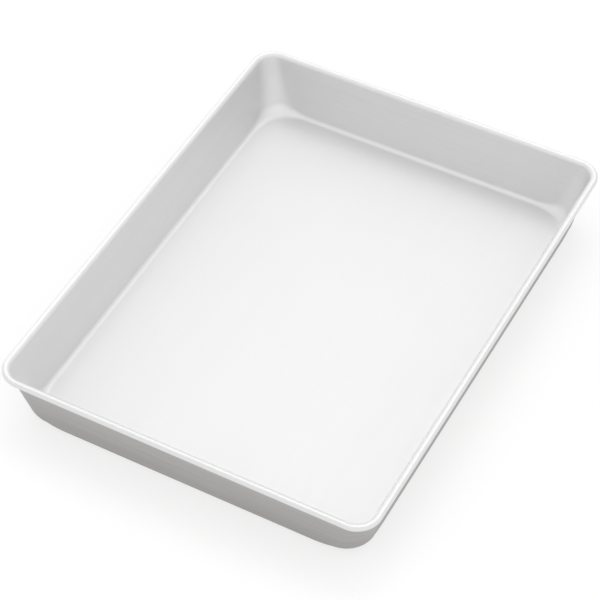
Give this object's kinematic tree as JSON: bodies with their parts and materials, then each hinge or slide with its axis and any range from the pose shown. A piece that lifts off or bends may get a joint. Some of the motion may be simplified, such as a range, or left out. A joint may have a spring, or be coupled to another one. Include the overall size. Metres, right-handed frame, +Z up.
{
  "type": "rectangular cake pan",
  "caption": "Rectangular sheet-cake pan drawn from aluminium sheet, with leaning walls, rounded corners and a rim rolled outwards over a steel wire.",
  "frame": {"origin": "middle of the underside, on the surface that the pan stands on", "axes": "+Y along the long side, +X along the short side, +Z up out of the open mouth"},
  "size_m": [0.3006, 0.3984, 0.052],
  "materials": {
    "aluminium_sheet": "satin, natural pale silver",
    "galvanised_wire": "dull galvanised"
  },
  "bodies": {
    "root": {"pan_shell": "aluminium_sheet", "rim_wire": "galvanised_wire"}
  },
  "joints": []
}
